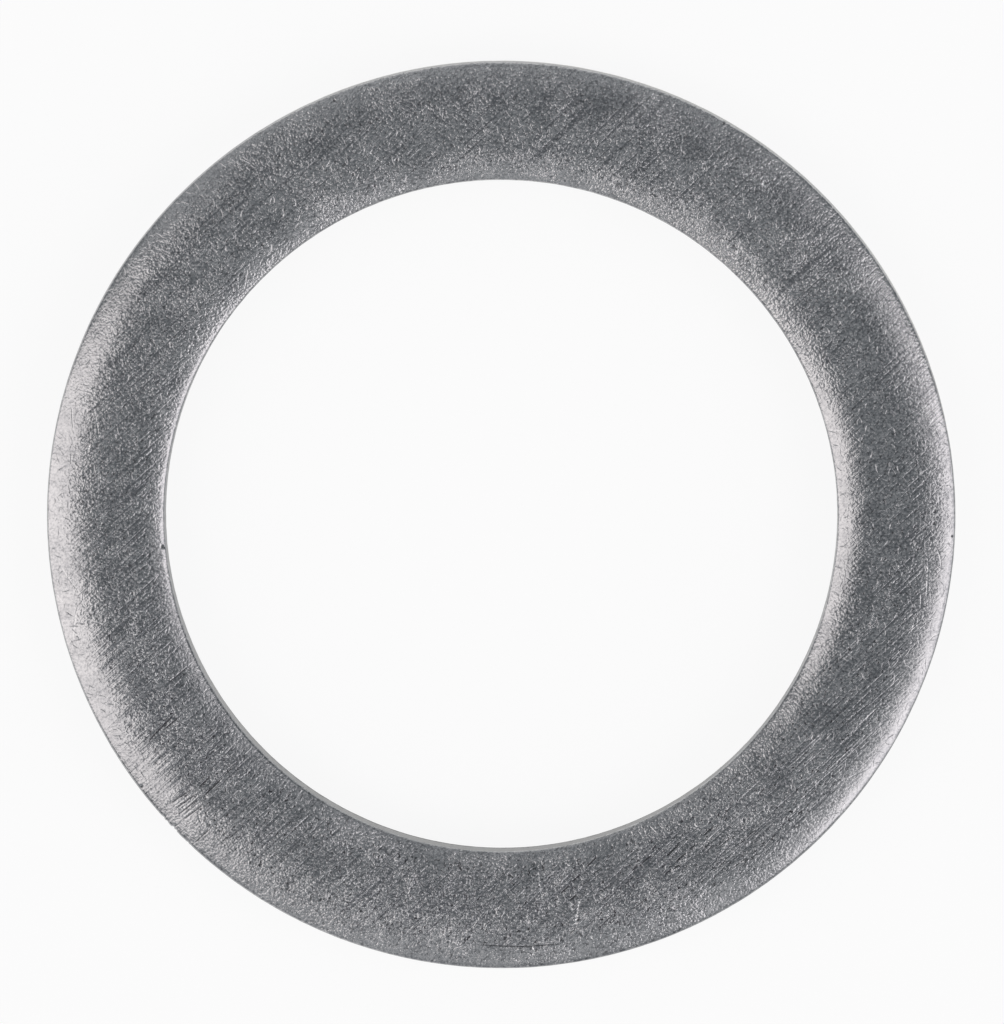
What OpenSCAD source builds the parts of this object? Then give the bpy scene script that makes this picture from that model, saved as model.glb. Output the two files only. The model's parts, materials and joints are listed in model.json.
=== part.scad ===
// Flat aluminium sealing ring, punched from rolled strip and tumbled.
// The ring lies on its lower face, centred on the Z axis, with that face at z = 0.
// The punch drew down both rims of the upper face and sheared the walls below them.

/* [Ring] */
// Bore, a clearance hole over a 16 mm screw thread
bore_d = 16.2; // [14.5:0.1:17.5]
// Outside diameter
outer_d = 21.9; // [20:0.1:26]
// Thickness, from the lower face to the upper face
thickness = 1.5; // [1:0.1:3]

/* [Rolled rims of the upper face] */
// Width of the rim that is drawn down along the outside
outer_roll_w = 1.3; // [0.4:0.05:1.4]
// Drop of the outer rim, from the upper face to its end at the wall
outer_roll_drop = 0.22; // [0.05:0.01:0.35]
// Width of the rim that is drawn down along the bore
bore_roll_w = 0.85; // [0.4:0.05:1.2]
// Drop of the bore rim, from the upper face to its end at the wall
bore_roll_drop = 0.14; // [0.05:0.01:0.3]
// Radius of the tumbled edge between a rolled rim and its wall
rim_r = 0.1; // [0.04:0.01:0.2]

/* [Sheared walls] */
// Height of the break zone at the foot of both walls, below the smooth sheared band
break_h = 0.5; // [0.2:0.05:0.6]
// How far the walls draw back into the metal over the break zone
break_draw = 0.03; // [0.01:0.005:0.08]
// Radius of the deburred edges of the lower face
deburr_r = 0.06; // [0.02:0.01:0.12]

/* [Hidden] */
$fn = 180;

bore_r = bore_d / 2;
outer_r = outer_d / 2;
ring_w = outer_r - bore_r;

// The most of the ring's width that one rolled rim may take
rim_share = 0.48;
outer_rim = min(outer_roll_w, rim_share * ring_w);
bore_rim = min(bore_roll_w, rim_share * ring_w);

// How far the cutting shapes reach past the metal
clear = 0.5;

// Lean of the break zone from the upright
break_lean = atan(break_draw / break_h);

// Radius of the arc that leaves the upper face level and drops by drop over the width w
function roll_radius(w, drop) = (w * w + drop * drop) / (2 * drop);

// A point at a distance from a centre, in the direction of an angle
function polar(centre, distance, angle) = centre + distance * [cos(angle), sin(angle)];

// What a rounded edge takes off: the corner outside a circle, between the directions first and last
module edge_round(centre, r, first, last) {
    middle = (first + last) / 2;
    reach = 2 * r;
    difference() {
        polygon([
            centre,
            polar(centre, reach, first),
            polar(centre, reach / cos(middle - first), middle),
            polar(centre, reach, last)
        ]);
        translate(centre) circle(r);
    }
}

// The rolled rim and the rounded edge below it, taken off a wall that stands at x = 0 with metal to its left
module rolled_rim(w, drop) {
    roll_r = roll_radius(w, drop);
    roll_centre = [-w, thickness - roll_r];
    edge_centre = [-rim_r, roll_centre.y + sqrt(pow(roll_r - rim_r, 2) - pow(w - rim_r, 2))];
    edge_from_roll = edge_centre - roll_centre;
    difference() {
        translate([-w, thickness - drop]) square([w + clear, drop + clear]);
        translate(roll_centre) circle(roll_r);
    }
    edge_round(edge_centre, rim_r, 0, atan2(edge_from_roll.y, edge_from_roll.x));
}

// The leaning break zone and the deburred edge at its foot, taken off the same wall
module sheared_foot() {
    foot_x = -break_draw;
    edge_x = foot_x + deburr_r * tan(break_lean) - deburr_r / cos(break_lean);
    polygon([[0, break_h], [foot_x, 0], [foot_x, -clear], [clear, -clear], [clear, break_h]]);
    edge_round([edge_x, deburr_r], deburr_r, -90, -break_lean);
}

// Half of the ring's section, beside the Z axis
module ring_section() {
    difference() {
        translate([bore_r, 0]) square([ring_w, thickness]);
        translate([outer_r, 0]) {
            rolled_rim(outer_rim, outer_roll_drop);
            sheared_foot();
        }
        translate([bore_r, 0]) mirror([1, 0]) {
            rolled_rim(bore_rim, bore_roll_drop);
            sheared_foot();
        }
    }
}

module sealing_ring() {
    color([0.72, 0.73, 0.74]) rotate_extrude() ring_section();
}

sealing_ring();
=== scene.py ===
"""Aluminium sealing ring: the punched, tumbled ring as a dressed mesh, in a small photo studio.

The ring is revolved from the same section as the CAD solid: a flat land on the upper face, rims drawn
down by the punch, tumbled edges, sheared walls, a leaning break zone and deburred edges round the lower
face. Nicks and scratches are pressed into the mesh, and the grain of the metal is in the finishes.
"""

import json
import logging
import math
from dataclasses import dataclass
from enum import Enum
from functools import partial, reduce

import bmesh
import bpy
from mathutils import Matrix, Quaternion, Vector, geometry, kdtree, noise

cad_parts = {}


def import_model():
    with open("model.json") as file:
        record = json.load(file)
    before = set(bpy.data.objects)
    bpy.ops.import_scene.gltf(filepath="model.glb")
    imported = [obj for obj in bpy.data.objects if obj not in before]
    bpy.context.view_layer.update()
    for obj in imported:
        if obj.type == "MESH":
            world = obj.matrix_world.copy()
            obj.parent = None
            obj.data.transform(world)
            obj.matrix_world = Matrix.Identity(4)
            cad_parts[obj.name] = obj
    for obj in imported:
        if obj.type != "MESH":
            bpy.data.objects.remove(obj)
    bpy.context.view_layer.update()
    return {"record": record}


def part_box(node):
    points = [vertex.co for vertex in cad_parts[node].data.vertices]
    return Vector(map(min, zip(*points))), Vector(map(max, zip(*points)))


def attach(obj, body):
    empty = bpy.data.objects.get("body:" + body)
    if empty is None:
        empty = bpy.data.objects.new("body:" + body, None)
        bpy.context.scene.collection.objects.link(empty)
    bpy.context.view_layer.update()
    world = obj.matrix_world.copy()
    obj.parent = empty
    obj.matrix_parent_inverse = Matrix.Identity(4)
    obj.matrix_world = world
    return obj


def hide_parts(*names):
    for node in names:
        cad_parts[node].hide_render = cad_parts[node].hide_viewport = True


LOG = logging.getLogger("sealing_ring")
MM = 0.001
RING_NODE = "sealing_ring"
PICTURE_SIZE = (1004, 1024)

Socket = bpy.types.NodeSocket
Colour = tuple[float, float, float]
Stretch = tuple[float, float, float]
Path = tuple[tuple[float, float], ...]


class Finish(Enum):
    """The two finishes of the ring, each with its place in the piece's material list."""

    TUMBLED = 0
    SHEARED = 1


@dataclass(frozen=True)
class Fade:
    """A result that eases from bottom to top while a value goes from low to high."""

    low: float
    high: float
    bottom: float = 0.0
    top: float = 1.0


@dataclass(frozen=True)
class Lay:
    """How a pattern lies in the ring's plane.

    The stretch gives the scales along the pattern's long way, across it and through the metal. The shift
    keeps two patterns from repeating each other.
    """

    angle_deg: float = 0.0
    stretch: Stretch = (1.0, 1.0, 1.0)
    shift: float = 0.0


@dataclass(frozen=True)
class Grain:
    """A noise pattern: grains to a unit, octaves of finer noise, their weight, and its lay."""

    scale: float = 1.0
    detail: float = 0.0
    roughness: float = 0.5
    lay: Lay | None = None


class NodeSketch:
    """Builds one shader tree from short calls."""

    def __init__(self, tree: bpy.types.ShaderNodeTree) -> None:
        """Empties the tree that the sketch is drawn in.

        Args:
            tree: the node tree of a material or a world.
        """
        self.tree = tree
        tree.nodes.clear()

    def node(self, kind: str, **settings: object) -> bpy.types.Node:
        """Adds a node.

        Args:
            kind: the node's type name, without the ShaderNode in front.
            settings: properties to set on the node.

        Returns:
            The new node.
        """
        made = self.tree.nodes.new("ShaderNode" + kind)
        for name, value in settings.items():
            setattr(made, name, value)
        return made

    def feed(self, socket: Socket, value: object) -> None:
        """Links a socket into an input, or sets the input to a plain value.

        Args:
            socket: the input to feed.
            value: an output socket, a number, a vector or a colour.
        """
        if isinstance(value, bpy.types.NodeSocket):
            self.tree.links.new(value, socket)
        else:
            socket.default_value = value

    def math(self, operation: str, first: Socket | float, second: Socket | float) -> Socket:
        """Works out a value from two others.

        Args:
            operation: the name of the Math node's operation.
            first: the first value.
            second: the second value.

        Returns:
            The result's socket.
        """
        made = self.node("Math", operation=operation)
        self.feed(made.inputs[0], first)
        self.feed(made.inputs[1], second)
        return made.outputs["Value"]

    def sum_of(self, first: Socket, *others: Socket | float) -> Socket:
        """Adds values."""
        return reduce(partial(self.math, "ADD"), others, first)

    def times(self, first: Socket, *others: Socket | float) -> Socket:
        """Multiplies values."""
        return reduce(partial(self.math, "MULTIPLY"), others, first)

    def size_of(self, value: Socket) -> Socket:
        """A value without its sign."""
        return self.math("ABSOLUTE", value, 0.0)

    def laid(self, place: Socket, lay: Lay) -> Socket:
        """Turns, stretches and shifts pattern coordinates.

        Args:
            place: the coordinates to change.
            lay: how the pattern lies.

        Returns:
            The new coordinates.
        """
        made = self.node("Mapping", vector_type="TEXTURE")
        self.feed(made.inputs["Vector"], place)
        made.inputs["Location"].default_value = (lay.shift, lay.shift, lay.shift)
        made.inputs["Rotation"].default_value = (0.0, 0.0, math.radians(lay.angle_deg))
        made.inputs["Scale"].default_value = tuple(1 / share for share in lay.stretch)
        return made.outputs["Vector"]

    def grain(self, place: Socket, pattern: Grain) -> Socket:
        """Noise between 0 and 1.

        Args:
            place: the coordinates that it follows.
            pattern: the noise pattern.

        Returns:
            The noise value.
        """
        made = self.node("TexNoise", noise_dimensions="3D")
        self.feed(made.inputs["Vector"], self.laid(place, pattern.lay) if pattern.lay else place)
        made.inputs["Scale"].default_value = pattern.scale
        made.inputs["Detail"].default_value = pattern.detail
        made.inputs["Roughness"].default_value = pattern.roughness
        return made.outputs["Fac"]

    def eased(self, value: Socket, fade: Fade) -> Socket:
        """Eases a value.

        Args:
            value: the value to map.
            fade: where the result changes, and from what to what.

        Returns:
            The mapped value.
        """
        made = self.node("MapRange", interpolation_type="SMOOTHSTEP")
        self.feed(made.inputs["Value"], value)
        made.inputs["From Min"].default_value = fade.low
        made.inputs["From Max"].default_value = fade.high
        made.inputs["To Min"].default_value = fade.bottom
        made.inputs["To Max"].default_value = fade.top
        return made.outputs["Result"]

    def tint(self, share: Socket, first: Socket | Colour, second: Socket | Colour) -> Socket:
        """Mixes two colours.

        Args:
            share: how much of the second colour there is.
            first: the colour at a share of 0.
            second: the colour at a share of 1.

        Returns:
            The mixed colour.
        """
        made = self.node("Mix", data_type="RGBA", clamp_factor=True)
        self.feed(made.inputs["Factor"], share)
        for socket, value in ((made.inputs["A"], first), (made.inputs["B"], second)):
            self.feed(socket, value if isinstance(value, bpy.types.NodeSocket) else (*value, 1.0))
        return made.outputs["Result"]

    def noted(self, layer: str) -> Socket:
        """A value that the mesh holds in a layer."""
        return self.node("Attribute", attribute_type="GEOMETRY", attribute_name=layer).outputs["Fac"]

    def millimetres(self) -> Socket:
        """The place on the object, in millimetres."""
        coordinates = self.node("TexCoord")
        scaled = self.node("Mapping", vector_type="POINT")
        self.feed(scaled.inputs["Vector"], coordinates.outputs["Object"])
        scaled.inputs["Scale"].default_value = (1 / MM, 1 / MM, 1 / MM)
        return scaled.outputs["Vector"]

    def metal(
        self, colour: Socket, rough: Socket, height: Socket, bump_unit: float, strength: Socket | float = 1.0
    ) -> None:
        """Ends the sketch as bare metal with a relief.

        Args:
            colour: the metal's colour.
            rough: its roughness.
            height: the relief.
            bump_unit: what a height of 1 stands for, in metres.
            strength: how much of the relief shows.
        """
        shader = self.node("BsdfPrincipled")
        shader.inputs["Metallic"].default_value = 1.0
        self.feed(shader.inputs["Base Color"], colour)
        self.feed(shader.inputs["Roughness"], rough)
        bump = self.node("Bump")
        bump.inputs["Distance"].default_value = bump_unit
        self.feed(bump.inputs["Strength"], strength)
        self.feed(bump.inputs["Height"], height)
        self.feed(shader.inputs["Normal"], bump.outputs["Normal"])
        output = self.node("OutputMaterial")
        self.feed(output.inputs["Surface"], shader.outputs["BSDF"])


def new_material(name: str) -> tuple[bpy.types.Material, NodeSketch]:
    """Makes an empty node material.

    Args:
        name: the material's name.

    Returns:
        The material and the sketch of its nodes.
    """
    material = bpy.data.materials.new(name)
    material.use_nodes = True
    return material, NodeSketch(material.node_tree)


@dataclass(frozen=True)
class ScratchLayer:
    """Loose scratches, at most one to a cell, each with its own direction. Lengths are in millimetres."""

    cells_per_mm: float
    half_length: float
    half_width: float
    bare_share: float
    bend: float

    def draw(self, sketch: NodeSketch, place: Socket) -> Socket:
        """Lays the scratches.

        Args:
            sketch: the finish's nodes.
            place: the place on the ring, in millimetres.

        Returns:
            1 along the middle of a scratch, falling to 0 beside it.
        """
        cell = sketch.node("TexVoronoi", voronoi_dimensions="2D", feature="F1")
        sketch.feed(cell.inputs["Vector"], place)
        cell.inputs["Scale"].default_value = self.cells_per_mm
        chance = sketch.node("SeparateColor")
        sketch.feed(chance.inputs["Color"], cell.outputs["Color"])
        offset = sketch.node("VectorMath", operation="SUBTRACT")
        sketch.feed(offset.inputs[0], place)
        sketch.feed(offset.inputs[1], cell.outputs["Position"])
        turned = sketch.node("VectorRotate", rotation_type="Z_AXIS")
        sketch.feed(turned.inputs["Vector"], offset.outputs["Vector"])
        sketch.feed(turned.inputs["Angle"], sketch.times(chance.outputs["Red"], math.tau))
        ways = sketch.node("SeparateXYZ")
        sketch.feed(ways.inputs["Vector"], turned.outputs["Vector"])
        bow = sketch.times(ways.outputs["X"], ways.outputs["X"], self.bend)
        beside = sketch.size_of(sketch.sum_of(ways.outputs["Y"], bow))
        along = sketch.size_of(ways.outputs["X"])
        return sketch.times(
            sketch.eased(beside, Fade(self.half_width, 0.0)),
            sketch.eased(along, Fade(self.half_length, 0.0)),
            sketch.eased(chance.outputs["Green"], Fade(self.bare_share, 1.0)),
        )


@dataclass(frozen=True)
class RingPlaces:
    """Where a point lies on the ring, as sockets in millimetres, and how much tumbling rubbed it.

    The reach is the square of the distance from the axis. Rising grows towards the upper right of the
    picture, and falling towards its lower right.
    """

    place: Socket
    x: Socket
    y: Socket
    sideways: Socket
    lengthways: Socket
    rising: Socket
    falling: Socket
    reach: Socket
    rubbed: Socket

    @classmethod
    def read(cls, sketch: NodeSketch) -> "RingPlaces":
        """Adds the nodes that tell the place.

        Args:
            sketch: the finish's nodes.

        Returns:
            The sockets.
        """
        place = sketch.millimetres()
        ways = sketch.node("SeparateXYZ")
        sketch.feed(ways.inputs["Vector"], place)
        x, y = ways.outputs["X"], ways.outputs["Y"]
        return cls(
            place=place,
            x=x,
            y=y,
            sideways=sketch.size_of(x),
            lengthways=sketch.size_of(y),
            rising=sketch.sum_of(x, y),
            falling=sketch.math("SUBTRACT", x, y),
            reach=sketch.sum_of(sketch.times(x, x), sketch.times(y, y)),
            rubbed=sketch.noted(Ring.RUB_LAYER),
        )


@dataclass(frozen=True)
class TumbledPatterns:
    """The patterns that the tumbled finish is made of, as sockets."""

    grain: Socket
    specks: Socket
    mottle: Socket
    patches: Socket
    pits: Socket
    dashes: Socket
    lines: Socket
    grit: Socket
    scratches: Socket
    hairlines: Socket


@dataclass(frozen=True)
class TumbledFinish:
    """Rolled strip after tumbling: dull grain, rolling lines, loose scratches and pits, rubbed on the rims.

    Scales are in patterns per millimetre and depths in millimetres. Most fades with a side or a corner in
    their names follow the place on the ring, because one side was rubbed more than another. The fades that
    darken the outer edge, the top rim and the bore's edge paint shade, and the one that lightens the top
    paints light. Scratches and bright scars get painted highlights, holes and dark scars painted shade.
    """

    name: str = "tumbled_face"
    metal: Colour = (0.515, 0.515, 0.52)
    # Dull metal, also the tint of the painted shade on the outer edge, the top rim and the bore's edge.
    dull: Colour = (0.25, 0.256, 0.267)
    # Painted highlight, tinted onto the loose scratches and the bright scars.
    bright: Colour = (0.72, 0.72, 0.72)
    # Painted shade, tinted into the small holes and the dark scars.
    shade_tint: Colour = (0.07, 0.072, 0.077)

    grain: Grain = Grain(7.0, 1.0, 0.55)
    grain_depth: float = 0.0105
    grain_patches: Fade = Fade(0.35, 0.65, 0.65, 1.25)
    specks: Grain = Grain(17.5, 1.0, 0.5)
    speck_depth: float = 0.0158
    speck_wear: Fade = Fade(0.7, 0.25, 0.0, 0.9)
    roughness: Fade = Fade(0.25, 0.75, 0.14, 0.26)
    mottle: Grain = Grain(1.6)
    mottle_wear: Fade = Fade(0.3, 0.7, -0.15, 0.15)
    patches: Grain = Grain(0.7, 1.0, lay=Lay(shift=17.0))
    pits: Grain = Grain(7.0, lay=Lay(shift=5.0))
    pit_edge: Fade = Fade(0.62, 0.74)
    pit_patches: Fade = Fade(0.46, 0.58)
    pit_depth: float = 0.007
    pit_wear: float = 0.6
    dashes: Grain = Grain(1.0, 1.0, 0.5, Lay(43.0, (0.8, 17.0, 1.0)))
    dash_depth: float = 0.0175
    dash_patches: Fade = Fade(0.35, 0.65, 1.5, 0.7)
    dash_wear: Fade = Fade(0.55, 0.3, 0.0, 0.35)
    lines: Grain = Grain(1.0, lay=Lay(43.0, (0.6, 16.0, 1.0), 3.0))
    line_edge: Fade = Fade(0.40, 0.27)
    line_patches: Fade = Fade(0.35, 0.6, 0.4, 1.0)
    line_depth: float = 0.0055
    line_wear: float = 1.4
    grit: Grain = Grain(1.0, 1.0, lay=Lay(43.0, (10.5, 15.5, 12.0), 11.0))
    hole_edge: Fade = Fade(0.42, 0.28)
    hole_depth: float = 0.004
    # How much painted shade the holes get.
    hole_tint: float = 0.85
    scratches: tuple[ScratchLayer, ...] = (
        ScratchLayer(0.8, 0.60, 0.026, 0.3, 0.15),
        ScratchLayer(2.1, 0.26, 0.022, 0.4, 0.6),
    )
    scratch_depth: float = 0.003
    # How much painted highlight the loose scratches get.
    scratch_gleam: float = 0.45
    hairlines: tuple[ScratchLayer, ...] = (
        ScratchLayer(3.4, 0.20, 0.015, 0.1, 1.0),
        ScratchLayer(5.1, 0.14, 0.013, 0.1, 1.8),
    )
    hairline_depth: float = 0.0045
    # Painted shade along the dark scars and painted highlight along the bright ones.
    scar_painted_shade: Fade = Fade(0.0, -0.6, 0.0, 0.92)
    scar_painted_highlight: Fade = Fade(0.0, 1.0, 0.0, 0.92)

    rubbed_off: Fade = Fade(0.1, 0.7)
    rubbed_upper_right: Fade = Fade(9.0, 14.0, 0.82, 0.45)
    rubbed_lower_right: Fade = Fade(9.0, 14.0, 0.0, 0.09)
    marks_top_down: Fade = Fade(7.0, -7.0, 0.65, 1.15)
    right_from: Fade = Fade(4.0, 9.0)
    right_middle: Fade = Fade(7.0, 4.0)
    right_marks: Fade = Fade(0.0, 1.0, 1.0, 0.65)
    rim_holes_side: Fade = Fade(4.0, 10.0)
    rim_holes_kept: Fade = Fade(0.0, 1.0, 1.0, 0.3)
    rim_holes: Fade = Fade(0.3, 0.9, 1.0, 0.5)
    holes_top_down: Fade = Fade(7.0, -7.0, 0.8, 1.15)
    rim_wear: Fade = Fade(0.0, 1.0, 1.0, 0.7)
    # Painted light: the upper part of the face is painted lighter.
    top_painted_light: Fade = Fade(2.0, 8.0, 0.0, -0.2)
    # Painted shade on the outermost edge, strongest towards the lower right.
    outer_edge: Fade = Fade(117.0, 119.4)
    outer_edge_painted_shade: Fade = Fade(4.0, 12.0, 0.0, 0.6)
    # Painted shade on the top rim.
    top_rim_from: Fade = Fade(90.0, 102.0)
    top_rim_to: Fade = Fade(117.0, 111.0)
    top_rim_painted_shade: Fade = Fade(4.0, 9.0, 0.0, 0.35)
    # Painted shade on the bore's edge, strongest on the left.
    bore_edge: Fade = Fade(67.0, 65.8)
    bore_edge_painted_shade: Fade = Fade(4.0, -4.0, 0.15, 0.6)
    right_grain: Fade = Fade(4.0, 9.0, 1.0, 0.8)
    corner: Fade = Fade(2.5, 6.0)
    corner_grain: Fade = Fade(0.0, 1.0, 1.0, 1.3)
    corner_rim: float = 0.65
    rim_top_down: Fade = Fade(6.0, -6.0, 0.8, 1.0)
    rim_middle: Fade = Fade(9.0, 3.0)
    rim_sides: Fade = Fade(3.0, 9.0, 0.0, -0.82)
    rim_lower_right: Fade = Fade(9.0, 14.0, 0.0, -0.3)
    rim_calm: Fade = Fade(0.8, 1.0, 1.0, 0.6)

    def material(self) -> bpy.types.Material:
        """Builds the finish.

        Returns:
            The material for the faces and rims of the ring.
        """
        material, sketch = new_material(self.name)
        at = RingPlaces.read(sketch)
        shown = self.patterns(sketch, at.place)
        kept = self.kept_marks(sketch, at)
        holes = self.holes(sketch, at, shown)
        # Dullness, with painted shade and painted light in it.
        worn = self.wear(sketch, at, shown, kept)
        sketch.metal(
            colour=self.colour(sketch, shown, holes, worn),
            rough=sketch.eased(shown.specks, self.roughness),
            height=self.relief(sketch, at, shown, kept, holes),
            bump_unit=MM,
            strength=sketch.eased(at.rubbed, self.rim_calm),
        )
        return material

    def patterns(self, sketch: NodeSketch, place: Socket) -> TumbledPatterns:
        """Adds the patterns.

        Args:
            sketch: the finish's nodes.
            place: the place on the ring, in millimetres.

        Returns:
            The patterns' sockets.
        """
        patches = sketch.grain(place, self.patches)
        pits = sketch.eased(sketch.grain(place, self.pits), self.pit_edge)
        lines = sketch.eased(sketch.grain(place, self.lines), self.line_edge)
        return TumbledPatterns(
            grain=sketch.grain(place, self.grain),
            specks=sketch.grain(place, self.specks),
            mottle=sketch.grain(place, self.mottle),
            patches=patches,
            pits=sketch.times(pits, sketch.eased(patches, self.pit_patches)),
            dashes=sketch.grain(place, self.dashes),
            lines=sketch.times(lines, sketch.eased(patches, self.line_patches)),
            grit=sketch.grain(place, self.grit),
            scratches=sketch.sum_of(*(layer.draw(sketch, place) for layer in self.scratches)),
            hairlines=sketch.sum_of(*(layer.draw(sketch, place) for layer in self.hairlines)),
        )

    def kept_marks(self, sketch: NodeSketch, at: RingPlaces) -> Socket:
        """How much of the rolling marks the tumbling left.

        Args:
            sketch: the finish's nodes.
            at: the place on the ring.

        Returns:
            The share that is left, about 1 on the land and less on the rims.
        """
        rubbed_off = sketch.times(
            sketch.eased(at.rubbed, self.rubbed_off),
            sketch.sum_of(
                sketch.eased(at.rising, self.rubbed_upper_right),
                sketch.eased(at.falling, self.rubbed_lower_right),
            ),
        )
        right_side = sketch.times(
            sketch.eased(at.x, self.right_from), sketch.eased(at.lengthways, self.right_middle)
        )
        return sketch.times(
            sketch.math("SUBTRACT", 1.0, rubbed_off),
            sketch.eased(at.y, self.marks_top_down),
            sketch.eased(right_side, self.right_marks),
        )

    def holes(self, sketch: NodeSketch, at: RingPlaces, shown: TumbledPatterns) -> Socket:
        """Small holes in the grain, which get a dark tint of painted shade.

        Args:
            sketch: the finish's nodes.
            at: the place on the ring.
            shown: the patterns.

        Returns:
            1 in a hole, falling to 0 beside it.
        """
        side_rim = sketch.times(at.rubbed, sketch.eased(at.sideways, self.rim_holes_side))
        return sketch.times(
            sketch.eased(shown.grit, self.hole_edge),
            sketch.eased(side_rim, self.rim_holes_kept),
            sketch.eased(at.rubbed, self.rim_holes),
            sketch.eased(at.y, self.holes_top_down),
        )

    def wear(self, sketch: NodeSketch, at: RingPlaces, shown: TumbledPatterns, kept: Socket) -> Socket:
        """How dull the metal is, with painted shade on the outer edge, the top rim and the bore's edge, and
        painted light on the top.

        Args:
            sketch: the finish's nodes.
            at: the place on the ring.
            shown: the patterns.
            kept: how much of the rolling marks is left.

        Returns:
            0 where the metal is clean, 1 where it is dull or painted darker.
        """
        marks = sketch.sum_of(
            sketch.times(shown.lines, self.line_wear),
            sketch.times(shown.pits, self.pit_wear),
            sketch.eased(shown.dashes, self.dash_wear),
        )
        grained = sketch.sum_of(
            sketch.times(marks, kept),
            sketch.eased(shown.specks, self.speck_wear),
            sketch.eased(shown.mottle, self.mottle_wear),
        )
        return sketch.sum_of(
            sketch.times(grained, sketch.eased(at.rubbed, self.rim_wear)),
            # Painted light on the top, and painted shade on the outer edge, the top rim and the bore's edge.
            sketch.eased(at.y, self.top_painted_light),
            sketch.times(
                sketch.eased(at.reach, self.outer_edge),
                sketch.eased(at.falling, self.outer_edge_painted_shade),
            ),
            sketch.times(
                sketch.eased(at.reach, self.top_rim_from),
                sketch.eased(at.reach, self.top_rim_to),
                sketch.eased(at.y, self.top_rim_painted_shade),
            ),
            sketch.times(
                sketch.eased(at.reach, self.bore_edge), sketch.eased(at.x, self.bore_edge_painted_shade)
            ),
        )

    def colour(self, sketch: NodeSketch, shown: TumbledPatterns, holes: Socket, worn: Socket) -> Socket:
        """The metal's colour, with painted shade in the holes and dark scars, and painted highlights on the
        scratches and bright scars.

        Args:
            sketch: the finish's nodes.
            shown: the patterns.
            holes: where the small holes are.
            worn: how dull the metal is, with painted shade and painted light in it.

        Returns:
            The colour's socket.
        """
        # The scars' painted light: painted shade below 0, painted highlight above 0.
        scarred = sketch.noted(Ring.PAINTED_LIGHT_LAYER)
        colour = sketch.tint(worn, self.metal, self.dull)
        for share, over in (
            (sketch.times(holes, self.hole_tint), self.shade_tint),
            (sketch.times(shown.scratches, self.scratch_gleam), self.bright),
            (sketch.eased(scarred, self.scar_painted_shade), self.shade_tint),
            (sketch.eased(scarred, self.scar_painted_highlight), self.bright),
        ):
            colour = sketch.tint(share, colour, over)
        return colour

    def relief(
        self, sketch: NodeSketch, at: RingPlaces, shown: TumbledPatterns, kept: Socket, holes: Socket
    ) -> Socket:
        """The fine relief of the surface.

        Args:
            sketch: the finish's nodes.
            at: the place on the ring.
            shown: the patterns.
            kept: how much of the rolling marks is left.
            holes: where the small holes are.

        Returns:
            The height, in millimetres.
        """
        dashes = sketch.times(shown.dashes, sketch.eased(shown.patches, self.dash_patches))
        marks = sketch.sum_of(
            sketch.times(dashes, self.dash_depth),
            sketch.times(shown.lines, -self.line_depth),
            sketch.times(shown.pits, -self.pit_depth),
            sketch.times(holes, -self.hole_depth),
        )
        corner = sketch.times(sketch.eased(at.x, self.corner), sketch.eased(at.y, self.corner))
        rim_grain = sketch.sum_of(
            sketch.times(sketch.eased(at.y, self.rim_top_down), sketch.eased(at.sideways, self.rim_middle)),
            sketch.eased(at.sideways, self.rim_sides),
            sketch.eased(at.falling, self.rim_lower_right),
            sketch.times(corner, self.corner_rim),
        )
        tumbled = sketch.times(
            sketch.sum_of(
                sketch.times(shown.grain, self.grain_depth), sketch.times(shown.specks, self.speck_depth)
            ),
            sketch.eased(shown.patches, self.grain_patches),
            sketch.eased(at.x, self.right_grain),
            sketch.eased(corner, self.corner_grain),
            sketch.sum_of(sketch.times(at.rubbed, rim_grain), 1.0),
        )
        return sketch.sum_of(
            sketch.times(marks, kept),
            tumbled,
            sketch.times(shown.scratches, -self.scratch_depth),
            sketch.times(shown.hairlines, -self.hairline_depth),
        )


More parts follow.
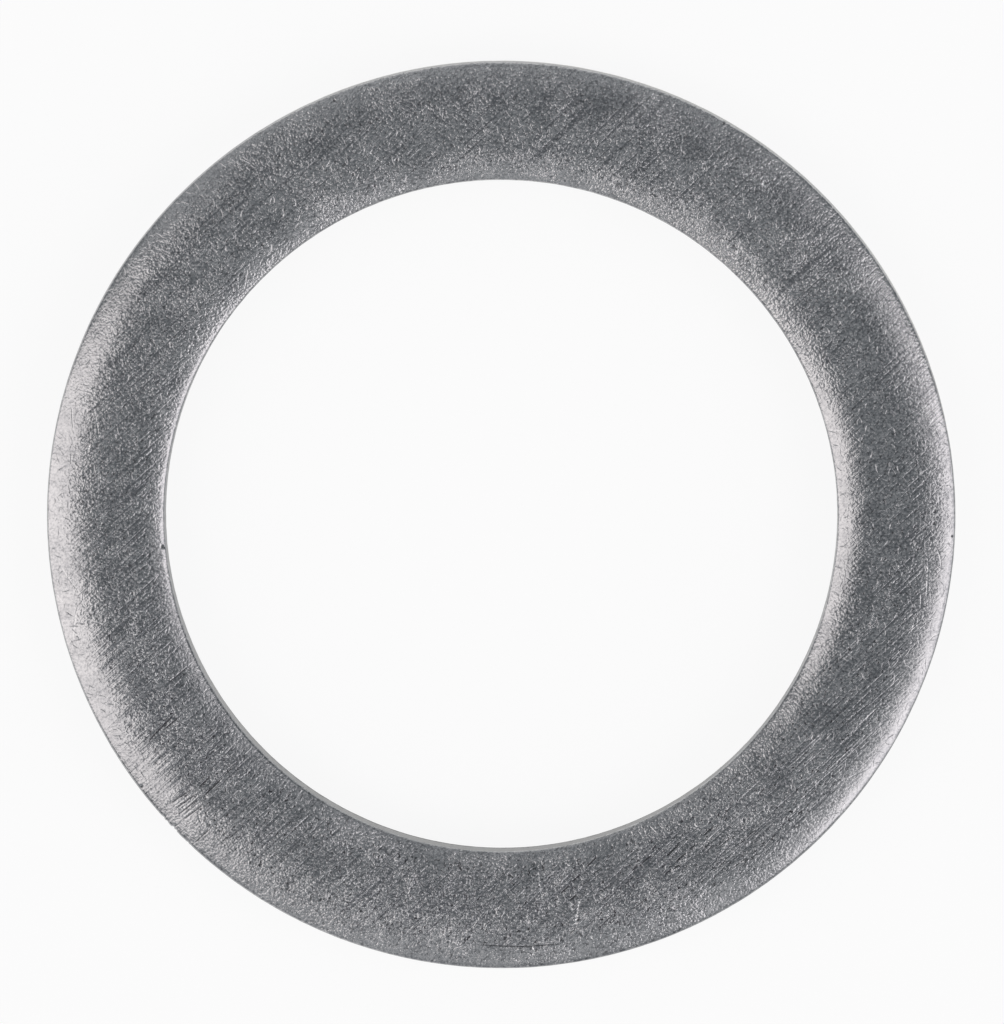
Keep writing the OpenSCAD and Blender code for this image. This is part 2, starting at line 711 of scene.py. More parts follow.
@dataclass(frozen=True)
class ShearedFinish:
    """Punched wall: a smooth sheared band with upright drag lines over a rougher break zone.

    Lengths are in millimetres. The bore's wall is painted darker than the outside one, as painted shade
    inside the bore.
    """

    name: str = "sheared_wall"
    # Painted shade: the bore's wall colours are darker copies of the outer wall's.
    shaded_bore_metal: Colour = (0.178, 0.178, 0.176)
    shaded_bore_dull: Colour = (0.135, 0.135, 0.136)
    outer_metal: Colour = (0.36, 0.36, 0.357)
    outer_dull: Colour = (0.26, 0.26, 0.261)
    outside: Fade = Fade(9.0, 10.0)
    drag: Grain = Grain(1.0, 2.0, 0.6, Lay(stretch=(9.0, 9.0, 0.5)))
    drag_wear: Fade = Fade(0.55, 0.3, 0.0, 0.6)
    crumble: Grain = Grain(14.0, 3.0, 0.65)
    ragged: float = 0.35
    band_above: float = 0.25
    break_above: float = 0.12
    break_wear: float = 0.35
    roughness: Fade = Fade(0.0, 1.0, 0.36, 0.5)
    bump_unit: float = 0.012 * MM

    def material(self, break_top_mm: float) -> bpy.types.Material:
        """Builds the finish.

        Args:
            break_top_mm: height of the break zone's upper border, in millimetres.

        Returns:
            The material for the walls of the ring.
        """
        material, sketch = new_material(self.name)
        place = sketch.millimetres()
        drag = sketch.grain(place, self.drag)
        crumble = sketch.grain(place, self.crumble)
        ways = sketch.node("SeparateXYZ")
        sketch.feed(ways.inputs["Vector"], place)
        ragged = sketch.sum_of(ways.outputs["Z"], sketch.times(drag, self.ragged))
        break_fade = Fade(break_top_mm + self.band_above, break_top_mm + self.break_above)
        broken = sketch.eased(ragged, break_fade)
        worn = sketch.sum_of(sketch.eased(drag, self.drag_wear), sketch.times(broken, self.break_wear))
        away = sketch.node("VectorMath", operation="LENGTH")
        sketch.feed(away.inputs[0], place)
        outside = sketch.eased(away.outputs["Value"], self.outside)
        # The bore's wall takes the darker colours: painted shade inside the bore.
        clean = sketch.tint(outside, self.shaded_bore_metal, self.outer_metal)
        dull = sketch.tint(outside, self.shaded_bore_dull, self.outer_dull)
        sketch.metal(
            colour=sketch.tint(worn, clean, dull),
            rough=sketch.eased(broken, self.roughness),
            height=sketch.sum_of(drag, sketch.times(crumble, broken)),
            bump_unit=self.bump_unit,
        )
        return material


class SectionPen:
    """Draws the ring's section in the XZ plane as a chain of edges."""

    def __init__(self, bm: bmesh.types.BMesh, start: Vector) -> None:
        """Puts the pen down.

        Args:
            bm: the mesh to draw in.
            start: the first point of the section.
        """
        self.bm = bm
        self.tip = bm.verts.new(start)

    def line(self, end: Vector, steps: int) -> None:
        """Draws a straight run to a point.

        Args:
            end: where the run ends.
            steps: how many edges it has.
        """
        stride = (end - self.tip.co) / steps
        for _ in range(steps):
            grown = bmesh.ops.extrude_vert_indiv(self.bm, verts=[self.tip])
            self.tip = grown["verts"][0]
            bmesh.ops.translate(self.bm, verts=[self.tip], vec=stride)

    def arc(self, centre: Vector, turn: float, steps: int) -> None:
        """Draws an arc, turning outwards and down from the top of its circle.

        Args:
            centre: the arc's centre.
            turn: the angle that it covers, in radians.
            steps: how many edges it has.
        """
        spun = bmesh.ops.spin(
            self.bm,
            geom=[self.tip],
            cent=centre,
            axis=(0.0, 1.0, 0.0),
            angle=turn,
            steps=steps,
            use_merge=False,
        )
        self.tip = next(e for e in spun["geom_last"] if isinstance(e, bmesh.types.BMVert))


@dataclass(frozen=True)
class RolledRim:
    """One rim of the upper face, drawn down by the punch: its width, drop and tumbled edge."""

    width: float
    drop: float
    edge: float

    @property
    def radius(self) -> float:
        """Radius of the arc that leaves the upper face level and drops over the rim's width."""
        return (self.width**2 + self.drop**2) / (2 * self.drop)

    @property
    def edge_below(self) -> float:
        """Depth of the tumbled edge's centre below the upper face."""
        reach = math.sqrt((self.radius - self.edge) ** 2 - (self.width - self.edge) ** 2)
        return self.radius - reach

    @property
    def turn(self) -> float:
        """Angle that the rim's arc turns through before the tumbled edge takes over, in radians."""
        return math.asin((self.width - self.edge) / (self.radius - self.edge))


@dataclass(frozen=True)
class ScarForm:
    """How one kind of scar is cut. Lengths are in millimetres.

    The last value is painted light: below 0 it paints shade along the scar's groove, above 0 a highlight
    along it.
    """

    half_width: float
    depth: float
    painted_light: float


class Mark(Enum):
    """The kinds of scars in the upper side of the ring."""

    # The last value of each form is painted light: painted shade below 0, painted highlight above 0.
    SCORE = ScarForm(0.033, 0.016, -1.0)
    DRAG = ScarForm(0.024, 0.011, -0.6)
    HAIR = ScarForm(0.025, 0.006, 0.68)
    FAINT = ScarForm(0.022, 0.004, 0.38)
    KNOCK = ScarForm(0.030, 0.008, 0.95)
    PIT = ScarForm(0.065, 0.022, -0.6)
    SPECK = ScarForm(0.050, 0.014, -0.6)
    NICK = ScarForm(0.070, 0.040, -0.5)


@dataclass(frozen=True)
class Scar:
    """One scar in the upper side, through places in the ring's plane. Lengths are in millimetres."""

    mark: Mark
    path: Path

    END_SHARE = 0.2

    @property
    def half_width(self) -> float:
        """Half of the scar's width, in metres."""
        return self.mark.value.half_width * MM

    def points(self) -> list[Vector]:
        """The places that the scar runs through, in metres."""
        return [Vector((x, y, 0.0)) * MM for x, y in self.path]

    def trail(self) -> list[Vector]:
        """Places along the scar, no further apart than half its width.

        Returns:
            The places, in metres.
        """
        points = self.points()
        trail = points[:1]
        for start, end in zip(points, points[1:]):
            steps = math.ceil((end - start).length / self.half_width)
            trail += [start.lerp(end, step / steps) for step in range(1, steps + 1)]
        return trail

    def cut(self, verts: list[bmesh.types.BMVert], painted_light: bmesh.types.BMLayerItem) -> None:
        """Presses the scar into the mesh, and writes its painted shade or painted highlight.

        Args:
            verts: the points of the mesh round the scar.
            painted_light: the layer that holds the scars' painted shade and painted highlights.
        """
        points = self.points()
        spans = list(zip(points, points[1:]))
        length = sum((end - start).length for start, end in spans)
        for vert in verts:
            place = Vector((vert.co.x, vert.co.y, 0.0))
            gap, ends = (place - points[0]).length, 1.0
            run = 0.0
            for start, end in spans:
                _, share = geometry.intersect_point_line(place, start, end)
                share = max(0.0, min(1.0, share))
                near = (place - start.lerp(end, share)).length
                stretch = (end - start).length
                if near <= gap:
                    gap = near
                    done = (run + share * stretch) / length
                    ends = min(1.0, done / self.END_SHARE, (1 - done) / self.END_SHARE)
                run += stretch
            if gap < self.half_width:
                weight = ends * (1 + math.cos(math.pi * gap / self.half_width)) / 2
                vert.co.z -= weight * self.mark.value.depth * MM
                shown = weight * self.mark.value.painted_light
                if abs(shown) > abs(vert[painted_light]):
                    vert[painted_light] = shown


def scars(mark: Mark, *paths: Path) -> tuple[Scar, ...]:
    """Scars of one kind, one to a path."""
    return tuple(Scar(mark, path) for path in paths)


SCARS = (
    *scars(
        Mark.SCORE,
        ((-8.51, -5.44), (-8.20, -5.12), (-7.85, -4.76)),
        ((-7.16, -6.75), (-6.87, -6.47), (-6.73, -6.34)),
        ((-7.29, -6.56), (-6.99, -6.27)),
        ((1.44, -9.11), (1.66, -8.89)),
        ((1.72, -8.82), (1.93, -8.63)),
        ((2.07, -8.46), (2.33, -8.20)),
        ((3.15, -8.56), (3.32, -8.40)),
        ((3.37, -8.39), (3.64, -8.17)),
        ((3.64, -8.05), (3.76, -7.91)),
        ((3.95, -8.65), (4.12, -8.50)),
        ((4.17, -8.51), (4.31, -8.39)),
        ((4.21, -8.36), (4.48, -8.10)),
        ((4.53, -8.04), (4.70, -7.91)),
        ((4.89, -7.70), (5.15, -7.45)),
        ((3.97, -8.23), (4.17, -8.03), (4.33, -7.83)),
        ((1.65, -9.29), (1.84, -9.13)),
    ),
    *scars(
        Mark.DRAG,
        ((-0.68, -10.35), (0.12, -10.39), (0.60, -10.40), (1.64, -10.32)),
        ((-8.20, -5.21), (-7.98, -5.03), (-7.75, -4.83)),
        ((-8.06, -4.07), (-7.83, -3.87), (-7.57, -3.64)),
        ((-7.64, -6.07), (-7.50, -5.92)),
        ((-7.06, -5.79), (-6.88, -5.63)),
        ((-6.65, -6.26), (-6.47, -6.07)),
        ((-7.86, -7.09), (-7.59, -6.89), (-7.33, -6.70)),
        ((-7.40, -7.92), (-7.21, -7.74), (-6.99, -7.54)),
        ((2.96, -8.93), (3.27, -8.63)),
        ((3.59, -9.11), (3.76, -8.93)),
        ((2.41, -9.06), (2.65, -8.87)),
        ((5.27, -7.36), (5.56, -6.97)),
        ((5.71, -7.94), (6.17, -7.52)),
        ((5.23, -8.00), (5.56, -7.73)),
        ((5.56, -8.51), (5.95, -8.21)),
        ((1.93, -8.94), (2.17, -8.73)),
        ((-7.79, -7.23), (-7.26, -6.81)),
        ((-7.71, -7.38), (-7.13, -6.94)),
        ((-8.03, -6.99), (-7.42, -6.58)),
        ((5.35, 7.71), (5.44, 7.78)),
        ((2.36, -9.95), (2.75, -9.57)),
        ((3.13, -9.52), (3.56, -9.18)),
        ((1.64, -10.10), (1.83, -9.93)),
        ((2.55, -8.27), (2.75, -8.10)),
        ((2.45, -9.28), (2.65, -9.11)),
        ((2.21, -8.65), (2.46, -8.46)),
        ((4.82, -8.12), (5.08, -7.81)),
        ((4.91, -8.17), (5.13, -7.88)),
        ((6.19, -6.73), (6.38, -6.53)),
        ((5.25, -8.46), (5.44, -8.27)),
        ((6.38, -7.95), (6.67, -7.62)),
    ),
    *scars(
        Mark.HAIR,
        ((-7.83, -7.18), (-7.28, -6.75)),
        ((-7.93, -7.06), (-7.38, -6.64)),
        ((-7.74, -7.31), (-7.20, -6.88)),
        ((-2.24, 8.57), (-2.00, 8.80), (-1.79, 9.00)),
        ((0.88, -8.40), (0.97, -9.09), (1.06, -9.52)),
        ((-8.92, -2.40), (-8.76, -2.30), (-8.50, -2.29)),
        ((4.33, 9.35), (4.38, 9.08), (4.33, 8.89), (4.43, 8.67)),
    ),
    *scars(
        Mark.FAINT,
        ((10.27, -0.85), (10.29, -1.23), (10.25, -2.05)),
        ((10.17, -1.09), (10.43, -1.38)),
    ),
    *scars(
        Mark.HAIR,
        ((-7.28, -7.09), (-7.29, -7.23), (-7.24, -7.42)),
        ((5.71, -7.13), (5.72, -7.34)),
        ((5.02, -7.26), (5.03, -7.39)),
        ((6.31, -7.00), (6.40, -7.18), (6.49, -6.97)),
        ((4.01, -9.35), (3.93, -9.79)),
        ((3.72, -9.73), (3.64, -9.99)),
        ((4.20, -9.28), (4.20, -9.45)),
        ((1.89, -10.10), (1.96, -10.39)),
        ((1.60, -8.20), (1.55, -8.46)),
        ((2.68, -9.05), (2.77, -8.88)),
        ((2.67, -10.10), (2.80, -10.20)),
        ((-6.46, -5.29), (-6.45, -5.18), (-6.39, -5.12)),
        ((-6.15, -7.71), (-6.07, -7.86)),
        ((6.00, 8.20), (6.18, 8.07)),
        ((-0.38, 10.87), (-0.26, 10.70)),
        ((-3.65, 9.17), (-3.58, 9.00)),
        ((5.27, -8.10), (5.61, -7.74)),
        ((5.61, -8.53), (5.90, -8.27)),
        ((5.97, -6.85), (6.17, -6.63)),
        ((4.58, -9.01), (4.77, -8.82)),
        ((4.82, -9.18), (5.01, -8.97)),
    ),
    *scars(
        Mark.KNOCK,
        ((0.76, -10.37), (0.81, -10.51), (0.76, -10.67)),
        ((1.92, -9.18), (1.84, -9.57), (1.80, -9.93)),
        ((1.66, -9.26), (1.73, -9.57)),
        ((5.87, 8.29), (5.95, 8.20)),
        ((6.28, 8.04), (6.37, 7.93)),
        ((-9.89, 1.74), (-9.96, 1.54)),
        ((4.65, -7.40), (4.73, -7.51)),
        ((2.92, -9.74), (2.93, -9.86)),
        ((3.56, -8.17), (3.64, -8.16)),
        ((3.73, -8.17), (3.77, -8.20)),
        ((2.19, -10.12), (2.20, -10.22)),
        ((10.26, -1.23), (10.31, -1.28)),
        ((-1.74, 9.89), (-1.76, 9.79)),
        ((-2.43, 7.93), (-2.40, 7.76)),
    ),
    *scars(
        Mark.SPECK,
        ((10.86, -0.46),),
    ),
    *scars(
        Mark.PIT,
        ((10.45, 0.14),),
        ((10.43, -0.15),),
        ((-8.88, -1.86),),
        ((-8.67, -6.56),),
        ((-3.13, 9.48),),
        ((-2.50, 8.59),),
        ((-3.55, 8.24),),
        ((-3.03, 7.97),),
        ((-4.01, 10.01),),
    ),
    *scars(
        Mark.SPECK,
        ((5.36, 9.46),),
    ),
    *scars(
        Mark.NICK,
        ((-8.15, -0.74),),
    ),
)


@dataclass(frozen=True)
class RimWear:
    """Unevenness that the punch left along the rims, with one torn stretch on the outside.

    Waves are counted to a radian.
    """

    band: float = 0.15 * MM
    swing: float = 0.008 * MM
    waves: float = 38.0
    torn_from_deg: float = 220.0
    torn_to_deg: float = 227.5
    torn_reach: float = 0.3 * MM
    torn_waves: float = 150.0
    tooth: float = 0.04 * MM
    tooth_gain: float = 2.0
    cuts: int = 3

    def torn(self, angle: float) -> float:
        """How much a place is torn.

        Args:
            angle: the place's direction from the ring's axis, in radians.

        Returns:
            1 along the torn stretch, falling to 0 at its ends.
        """
        along = (math.degrees(angle) % 360 - self.torn_from_deg) / (self.torn_to_deg - self.torn_from_deg)
        return max(0.0, math.sin(math.pi * along)) if 0 < along < 1 else 0.0

    def bite(self, angle: float, outside: bool) -> float:
        """How far a rim is bitten back.

        Args:
            angle: the place's direction from the ring's axis, in radians.
            outside: whether it is the outer rim.

        Returns:
            The depth of the bite, in metres.
        """
        way = Vector((math.cos(angle), math.sin(angle), float(outside)))
        bite = self.swing * (1 + noise.noise(way * self.waves)) / 2
        if outside:
            teeth = max(0.0, self.tooth_gain * noise.noise(way * self.torn_waves))
            bite += self.tooth * self.torn(angle) * min(1.0, teeth)
        return bite


@dataclass
class Ring:
    """The sealing ring: one punched piece, revolved from its section and then worn."""

    outer_r: float
    bore_r: float
    thickness: float
    outer_rim: RolledRim = RolledRim(width=1.3 * MM, drop=0.22 * MM, edge=0.1 * MM)
    bore_rim: RolledRim = RolledRim(width=0.85 * MM, drop=0.14 * MM, edge=0.1 * MM)
    break_height: float = 0.5 * MM
    break_draw: float = 0.03 * MM
    deburr: float = 0.06 * MM
    doublings: int = 6
    sector_steps: int = 12
    land_steps: int = 8
    outer_rim_steps: int = 17
    bore_rim_steps: int = 12
    edge_steps: int = 6
    wall_steps: int = 3
    deburr_steps: int = 3
    lower_steps: int = 3
    scars: tuple[Scar, ...] = SCARS
    scar_margin: float = 0.045 * MM
    scar_cuts: int = 4
    scar_search: float = 2.0
    upper_lean: float = 0.3
    wall_lean_deg: float = 20.0
    rim_wear: RimWear = RimWear()
    merge_gap: float = 0.0005 * MM
    map_rim: float = 0.495
    map_seam: int = 4

    RUB_LAYER = "rim_rub"
    RUN_LAYER = "section_run"
    # Layer of the scars' painted light: painted shade below 0, painted highlight above 0.
    PAINTED_LIGHT_LAYER = "scar_painted_light"
    MAP_NAME = "OFBake"

    def build(self) -> bpy.types.Object:
        """Models the ring.

        Returns:
            The ring as a mesh object at the origin.
        """
        bm = bmesh.new()
        self.draw_section(bm)
        self.note_runs(bm)
        self.revolve(bm)
        bmesh.ops.remove_doubles(bm, verts=bm.verts, dist=self.merge_gap)
        bmesh.ops.recalc_face_normals(bm, faces=bm.faces)
        self.note_rub(bm)
        self.lay_map(bm)
        self.share_finishes(bm)
        self.wear_rims(bm)
        self.press_scars(bm)
        mesh = bpy.data.meshes.new("aluminium_ring")
        bm.to_mesh(mesh)
        bm.free()
        mesh.shade_smooth()
        piece = bpy.data.objects.new("aluminium_ring", mesh)
        bpy.context.scene.collection.objects.link(piece)
        return piece

    def draw_section(self, bm: bmesh.types.BMesh) -> None:
        """Draws the closed section, from the middle of the lower face round by the bore and the upper face.

        Args:
            bm: the mesh to draw in.
        """
        lean = math.atan2(self.break_draw, self.break_height)
        deburr_in = self.break_draw - self.deburr * math.tan(lean) + self.deburr / math.cos(lean)
        middle = Vector(((self.bore_r + self.outer_r) / 2, 0.0, 0.0))
        foot_turn = math.pi / 2 - lean
        pen = SectionPen(bm, middle)
        bore_foot = Vector((self.bore_r + deburr_in, 0.0, self.deburr))
        pen.line(Vector((bore_foot.x, 0.0, 0.0)), self.lower_steps)
        pen.arc(bore_foot, foot_turn, self.deburr_steps)
        pen.line(Vector((self.bore_r, 0.0, self.break_height)), self.wall_steps)
        bore_top = self.thickness - self.bore_rim.edge_below
        pen.line(Vector((self.bore_r, 0.0, bore_top)), self.wall_steps)
        bore_edge = Vector((self.bore_r + self.bore_rim.edge, 0.0, bore_top))
        pen.arc(bore_edge, math.pi / 2 - self.bore_rim.turn, self.edge_steps)
        bore_land = self.bore_r + self.bore_rim.width
        bore_roll = Vector((bore_land, 0.0, self.thickness - self.bore_rim.radius))
        pen.arc(bore_roll, self.bore_rim.turn, self.bore_rim_steps)
        outer_land = self.outer_r - self.outer_rim.width
        pen.line(Vector((outer_land, 0.0, self.thickness)), self.land_steps)
        outer_roll = Vector((outer_land, 0.0, self.thickness - self.outer_rim.radius))
        pen.arc(outer_roll, self.outer_rim.turn, self.outer_rim_steps)
        outer_top = self.thickness - self.outer_rim.edge_below
        outer_edge = Vector((self.outer_r - self.outer_rim.edge, 0.0, outer_top))
        pen.arc(outer_edge, math.pi / 2 - self.outer_rim.turn, self.edge_steps)
        pen.line(Vector((self.outer_r, 0.0, self.break_height)), self.wall_steps)
        outer_foot = Vector((self.outer_r - deburr_in, 0.0, self.deburr))
        flank = Vector((math.cos(lean), 0.0, -math.sin(lean))) * self.deburr
        pen.line(outer_foot + flank, self.wall_steps)
        pen.arc(outer_foot, foot_turn, self.deburr_steps)
        pen.line(middle, self.lower_steps)

    def revolve(self, bm: bmesh.types.BMesh) -> None:
        """Spins the section into a narrow sector, and copies that round until the ring is whole.

        Args:
            bm: the mesh that holds the section.
        """
        sector = math.tau / 2**self.doublings
        bmesh.ops.spin(
            bm,
            geom=list(bm.verts) + list(bm.edges),
            cent=(0.0, 0.0, 0.0),
            axis=(0.0, 0.0, 1.0),
            angle=sector,
            steps=self.sector_steps,
            use_merge=False,
        )
        for _ in range(self.doublings):
            copied = bmesh.ops.duplicate(bm, geom=list(bm.verts) + list(bm.edges) + list(bm.faces))
            moved = [part for part in copied["geom"] if isinstance(part, bmesh.types.BMVert)]
            bmesh.ops.rotate(bm, verts=moved, matrix=Matrix.Rotation(sector, 3, "Z"))
            sector *= 2

    def note_runs(self, bm: bmesh.types.BMesh) -> None:
        """Writes on each section point how far along the section it lies, for the ring's own map.

        Args:
            bm: the mesh that holds the section.
        """
        layer = bm.verts.layers.float.new(self.RUN_LAYER)
        bm.verts.ensure_lookup_table()
        run, last = 0.0, bm.verts[0].co
        for vert in bm.verts:
            run += (vert.co - last).length
            vert[layer] = run
            last = vert.co

    def note_rub(self, bm: bmesh.types.BMesh) -> None:
        """Writes on each point how much tumbling rubbed it: 0 on the land and lower face, 1 at the rims.

        Args:
            bm: the ring's mesh.
        """
        layer = bm.verts.layers.float.new(self.RUB_LAYER)
        for vert in bm.verts:
            radius = math.hypot(vert.co.x, vert.co.y)
            outer = (radius - self.outer_r + self.outer_rim.width) / self.outer_rim.width
            bore = (self.bore_r + self.bore_rim.width - radius) / self.bore_rim.width
            rub = max(0.0, min(1.0, max(outer, bore)))
            vert[layer] = rub if vert.co.z > self.thickness / 2 else 0.0

    def lay_map(self, bm: bmesh.types.BMesh) -> None:
        """Lays the ring's surface out as one flat disc, cut open along the middle of the lower face.

        Args:
            bm: the ring's mesh.
        """
        layer = bm.verts.layers.float[self.RUN_LAYER]
        sheet = bm.loops.layers.uv.new(self.MAP_NAME)
        whole = max(vert[layer] for vert in bm.verts)
        seam = self.map_seam * max(edge.calc_length() for edge in bm.edges if not edge.is_boundary)
        scale = self.map_rim / (whole / 2 + (self.bore_r + self.outer_r) / 2)
        for face in bm.faces:
            runs = [loop.vert[layer] for loop in face.loops]
            far = max(runs) > whole - seam
            for loop, run in zip(face.loops, runs):
                if far and run < seam:
                    run += whole
                span = self.map_rim - scale * (whole - run)
                place = loop.vert.co
                angle = math.atan2(place.y, place.x)
                loop[sheet].uv = (0.5 + span * math.cos(angle), 0.5 + span * math.sin(angle))

    def share_finishes(self, bm: bmesh.types.BMesh) -> None:
        """Gives the walls the sheared finish and the rest the tumbled one.

        Args:
            bm: the ring's mesh.
        """
        wall_top = self.thickness - min(self.outer_rim.edge_below, self.bore_rim.edge_below)
        steepest = math.sin(math.radians(self.wall_lean_deg))
        for face in bm.faces:
            middle = face.calc_center_median()
            wall = abs(face.normal.z) < steepest and self.deburr < middle.z < wall_top
            face.material_index = (Finish.SHEARED if wall else Finish.TUMBLED).value
            face.smooth = True

    def wear_rims(self, bm: bmesh.types.BMesh) -> None:
        """Makes both rims slightly uneven, and tears the outer one along a short stretch.

        Args:
            bm: the ring's mesh.
        """
        wear = self.rim_wear
        edges: dict[bmesh.types.BMEdge, None] = {}
        for face in bm.faces:
            middle = face.calc_center_median()
            outside = math.hypot(middle.x, middle.y) > self.outer_r - wear.torn_reach
            if outside and middle.z > 0 and wear.torn(math.atan2(middle.y, middle.x)) > 0:
                edges.update(dict.fromkeys(face.edges))
        bmesh.ops.subdivide_edges(bm, edges=list(edges), cuts=wear.cuts, use_grid_fill=True)
        for vert in bm.verts:
            radius = math.hypot(vert.co.x, vert.co.y)
            outer = (radius - self.outer_r + wear.band) / wear.band
            bore = (self.bore_r + wear.band - radius) / wear.band
            share = max(outer, bore)
            if share > 0:
                bite = share * wear.bite(math.atan2(vert.co.y, vert.co.x), outer > bore)
                scale = 1 + (bite if bore > outer else -bite) / radius
                vert.co.x *= scale
                vert.co.y *= scale

    def press_scars(self, bm: bmesh.types.BMesh) -> None:
        """Cuts the mesh finer round the scars of the upper side, presses them in, and writes their painted
        shade and painted highlights into a layer.

        Args:
            bm: the ring's mesh.
        """
        # This layer takes painted shade in dark grooves, pits and nicks, and painted highlights on bright
        # scratches.
        painted_light = bm.verts.layers.float.new(self.PAINTED_LIGHT_LAYER)
        bm.normal_update()
        faces = [face for face in bm.faces if face.normal.z > self.upper_lean]
        finder = self.finder_of([face.calc_center_median() for face in faces])
        edges: dict[bmesh.types.BMEdge, None] = {}
        for scar in self.scars:
            for place in scar.trail():
                for _, index, _ in finder.find_range(place, scar.half_width + self.scar_margin):
                    edges.update(dict.fromkeys(faces[index].edges))
        bmesh.ops.subdivide_edges(bm, edges=list(edges), cuts=self.scar_cuts, use_grid_fill=True)
        bm.normal_update()
        verts = [vert for vert in bm.verts if vert.normal.z > self.upper_lean]
        finder = self.finder_of([vert.co for vert in verts])
        for scar in self.scars:
            found: dict[int, None] = {}
            near = self.scar_search * scar.half_width
            for place in scar.trail():
                found.update((index, None) for _, index, _ in finder.find_range(place, near))
            scar.cut([verts[index] for index in found], painted_light)

    @staticmethod
    def finder_of(places: list[Vector]) -> kdtree.KDTree:
        """Sorts places in the ring's plane, so that those near a point are found quickly.

        Args:
            places: the places to sort.

        Returns:
            The finder, which answers with places' numbers in the list.
        """
        finder = kdtree.KDTree(len(places))
        for index, place in enumerate(places):
            finder.insert((place.x, place.y, 0.0), index)
        finder.balance()
        return finder

    def dress(self, piece: bpy.types.Object) -> None:
        """Puts the finishes on the ring.

        Args:
            piece: the ring's object.
        """
        piece.data.materials.append(TumbledFinish().material())
        piece.data.materials.append(ShearedFinish().material(self.break_height / MM))

    def hand_over(self, piece: bpy.types.Object) -> None:
        """Lets the piece stand for the CAD solid.

        Args:
            piece: the ring's object.
        """
        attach(piece, "root")
        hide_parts(RING_NODE)


@dataclass(frozen=True)
class SoftBox:
    """A softbox that faces the ring."""

    name: str
    azimuth_deg: float
    zenith_deg: float
    distance: float
    width: float
    height: float
    brightness: float
    roll_deg: float = 0.0
    colour: Colour = (1.0, 0.978, 0.985)

    def place(self) -> bpy.types.Object:
        """Hangs the softbox.

        Returns:
            The lamp.
        """
        lamp = bpy.data.lights.new(self.name, "AREA")
        lamp.shape = "RECTANGLE"
        lamp.size = self.width
        lamp.size_y = self.height
        lamp.energy = self.brightness * math.pi * self.width * self.height
        lamp.color = self.colour
        azimuth, zenith = math.radians(self.azimuth_deg), math.radians(self.zenith_deg)
        towards = Vector(
            (
                math.sin(zenith) * math.cos(azimuth),
                math.sin(zenith) * math.sin(azimuth),
                math.cos(zenith),
            )
        )
        piece = bpy.data.objects.new(self.name, lamp)
        piece.location = towards * self.distance
        piece.rotation_mode = "QUATERNION"
        roll = Quaternion((0.0, 0.0, 1.0), math.radians(self.roll_deg))
        piece.rotation_quaternion = towards.to_track_quat("Z", "Y") @ roll
        piece.visible_camera = False
        bpy.context.scene.collection.objects.link(piece)
        return piece


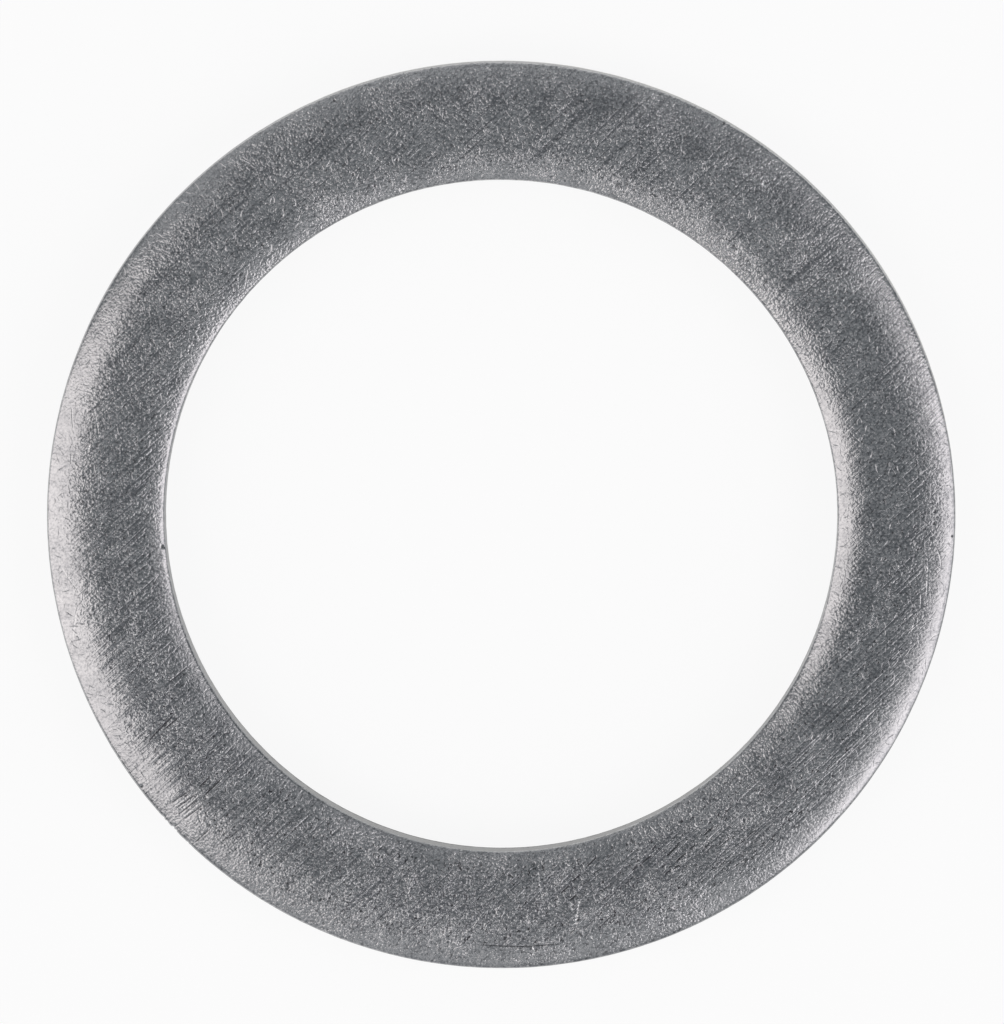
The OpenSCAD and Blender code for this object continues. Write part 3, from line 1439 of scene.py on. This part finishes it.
@dataclass(frozen=True)
class Studio:
    """Pale floor, softboxes at the sides, weaker fills and panels between them, dim ceiling, pale horizon."""

    floor_side: float = 8.0
    floor_colour: Colour = (0.93, 0.93, 0.93)
    sweep: Fade = Fade(0.03, 0.2, 0.9, 1.0)
    ceiling: Colour = (0.252, 0.269, 0.285)
    horizon: Colour = (1.0, 1.0, 1.0)
    horizon_fade: Fade = Fade(0.04, 0.12)
    boxes: tuple[SoftBox, ...] = (
        SoftBox("left_softbox", 190.0, 51.0, 0.5, 0.36, 0.60, 1.37, -10.0, (1.0, 0.935, 0.918)),
        SoftBox("right_softbox", -18.0, 58.5, 0.5, 0.44, 0.48, 1.62, 8.0, (1.0, 0.944, 0.955)),
        SoftBox("left_front_fill", 249.0, 50.0, 0.5, 0.25, 0.53, 0.25),
        SoftBox("right_front_fill", 304.0, 50.0, 0.5, 0.25, 0.53, 0.28),
        SoftBox("left_back_fill", 126.0, 52.0, 0.5, 0.22, 0.50, 0.22),
        SoftBox("right_back_fill", 24.0, 29.5, 0.5, 0.20, 0.15, 0.56, 0.0, (1.0, 0.944, 0.955)),
        SoftBox("front_panel", 270.0, 62.0, 0.5, 0.40, 0.40, 0.13),
        SoftBox("back_panel", 90.0, 62.0, 0.5, 0.40, 0.40, 0.26),
    )

    def build(self) -> None:
        """Sets the studio up round the ring."""
        self.lay_floor()
        self.paint_world()
        for box in self.boxes:
            box.place()
            LOG.info("lamp %s", box.name)

    def lay_floor(self) -> None:
        """Lays the floor that the ring lies on."""
        bm = bmesh.new()
        bmesh.ops.create_grid(bm, x_segments=1, y_segments=1, size=self.floor_side / 2)
        mesh = bpy.data.meshes.new("floor")
        bm.to_mesh(mesh)
        bm.free()
        floor = bpy.data.objects.new("floor", mesh)
        floor.data.materials.append(self.floor_material())
        bpy.context.scene.collection.objects.link(floor)

    def floor_material(self) -> bpy.types.Material:
        """Matt white floor that fades into an evenly lit sweep away from the ring.

        Returns:
            The floor's material.
        """
        material, sketch = new_material("floor_white")
        matt = sketch.node("BsdfDiffuse")
        matt.inputs["Color"].default_value = (*self.floor_colour, 1.0)
        glow = sketch.node("Emission")
        glow.inputs["Color"].default_value = (*self.horizon, 1.0)
        glow.inputs["Strength"].default_value = 1.0
        coordinates = sketch.node("TexCoord")
        away = sketch.node("VectorMath", operation="LENGTH")
        sketch.feed(away.inputs[0], coordinates.outputs["Object"])
        far = sketch.eased(away.outputs["Value"], self.sweep)
        rays = sketch.node("LightPath")
        seen = sketch.math("MAXIMUM", rays.outputs["Is Camera Ray"], rays.outputs["Is Glossy Ray"])
        seen = sketch.math("MAXIMUM", seen, rays.outputs["Is Transmission Ray"])
        mix = sketch.node("MixShader")
        sketch.feed(mix.inputs["Fac"], sketch.times(far, seen))
        sketch.feed(mix.inputs[1], matt.outputs["BSDF"])
        sketch.feed(mix.inputs[2], glow.outputs["Emission"])
        output = sketch.node("OutputMaterial")
        sketch.feed(output.inputs["Surface"], mix.outputs["Shader"])
        return material

    def paint_world(self) -> None:
        """Paints the dim ceiling and the pale horizon."""
        world = bpy.data.worlds.new("studio")
        world.use_nodes = True
        bpy.context.scene.world = world
        sketch = NodeSketch(world.node_tree)
        coordinates = sketch.node("TexCoord")
        direction = sketch.node("SeparateXYZ")
        sketch.feed(direction.inputs["Vector"], coordinates.outputs["Generated"])
        up = sketch.eased(direction.outputs["Z"], self.horizon_fade)
        background = sketch.node("Background")
        sketch.feed(background.inputs["Color"], sketch.tint(up, self.horizon, self.ceiling))
        output = sketch.node("OutputWorld")
        sketch.feed(output.inputs["Surface"], background.outputs["Background"])


@dataclass(frozen=True)
class PhotoCamera:
    """Camera almost straight above the ring, as in the photograph."""

    distance: float = 335.0 * MM
    tilt_deg: float = 4.0
    lean_towards: tuple[float, float] = (0.26, 0.97)
    aim_x: float = 0.030 * MM
    aim_y: float = 0.115 * MM
    sensor: float = 36.0
    pixels_per_mm: float = 41.54
    clip_ratio: float = 100.0

    def place(self, aim_height: float) -> bpy.types.Object:
        """Sets the camera up and makes it the scene's camera.

        Args:
            aim_height: height of the point that it looks at, in metres.

        Returns:
            The camera.
        """
        data = bpy.data.cameras.new("photo_camera")
        data.sensor_width = self.sensor
        data.lens = self.pixels_per_mm / MM * self.distance * self.sensor / max(PICTURE_SIZE)
        data.clip_start = self.distance / self.clip_ratio
        data.clip_end = self.distance * self.clip_ratio
        tilt = math.radians(self.tilt_deg)
        lean = Vector(self.lean_towards).normalized() * math.sin(tilt)
        back = Vector((lean.x, lean.y, math.cos(tilt)))
        aim = Vector((self.aim_x, self.aim_y, aim_height))
        right = Vector((0.0, 1.0, 0.0)).cross(back).normalized()
        above = back.cross(right)
        camera = bpy.data.objects.new("photo_camera", data)
        turn = Matrix((right, above, back)).transposed()
        camera.matrix_world = Matrix.Translation(aim + back * self.distance) @ turn.to_4x4()
        bpy.context.scene.collection.objects.link(camera)
        bpy.context.scene.camera = camera
        return camera


def ring_from(frame: dict) -> Ring:
    """Takes the ring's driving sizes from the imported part.


    Returns:
        The ring to build.
    """
    low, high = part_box(RING_NODE)
    bore = next(mount for mount in frame["record"]["mounts"] if mount["name"] == "bore")
    return Ring(
        outer_r=(high.x - low.x) / 2,
        bore_r=bore["dims"]["r_mm"] * MM,
        thickness=high.z - low.z,
    )


def main() -> None:
    """Builds the ring, dresses it and sets up the studio and the camera."""
    logging.basicConfig(level=logging.INFO, format="%(name)s: %(message)s")
    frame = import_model()
    bpy.context.scene.view_settings.view_transform = "Standard"
    ring = ring_from(frame)
    PhotoCamera().place(ring.thickness)
    piece = ring.build()
    ring.dress(piece)
    ring.hand_over(piece)
    LOG.info("piece %s: %d faces", piece.name, len(piece.data.polygons))
    Studio().build()


if __name__ == "__main__":
    main()
